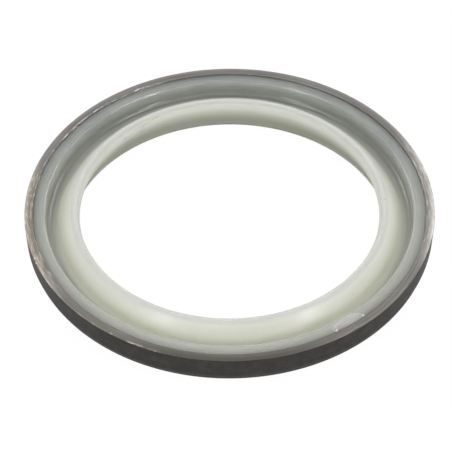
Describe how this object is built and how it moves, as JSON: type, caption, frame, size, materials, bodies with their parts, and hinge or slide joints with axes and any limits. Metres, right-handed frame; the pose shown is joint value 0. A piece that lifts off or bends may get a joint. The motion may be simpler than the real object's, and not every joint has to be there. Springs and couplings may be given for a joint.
{
  "type": "sealing ring",
  "caption": "Metal-cased wiper seal ring: a turned steel case with a bonded translucent polyurethane lip that keeps dirt off a pin or rod.",
  "frame": {"origin": "on the ring's axis, at the underside of the lip's skirt, which the ring stands on", "axes": "+Z along the ring's axis, towards the open side of the case"},
  "size_m": [0.1, 0.1, 0.0117],
  "materials": {
    "case_steel": "turned, dark and slightly tarnished, with bright rubbed marks on the rim",
    "lip_polyurethane": "smooth moulded, translucent, soft gloss"
  },
  "bodies": {
    "root": {"steel_case": "case_steel", "polyurethane_lip": "lip_polyurethane"}
  },
  "joints": []
}
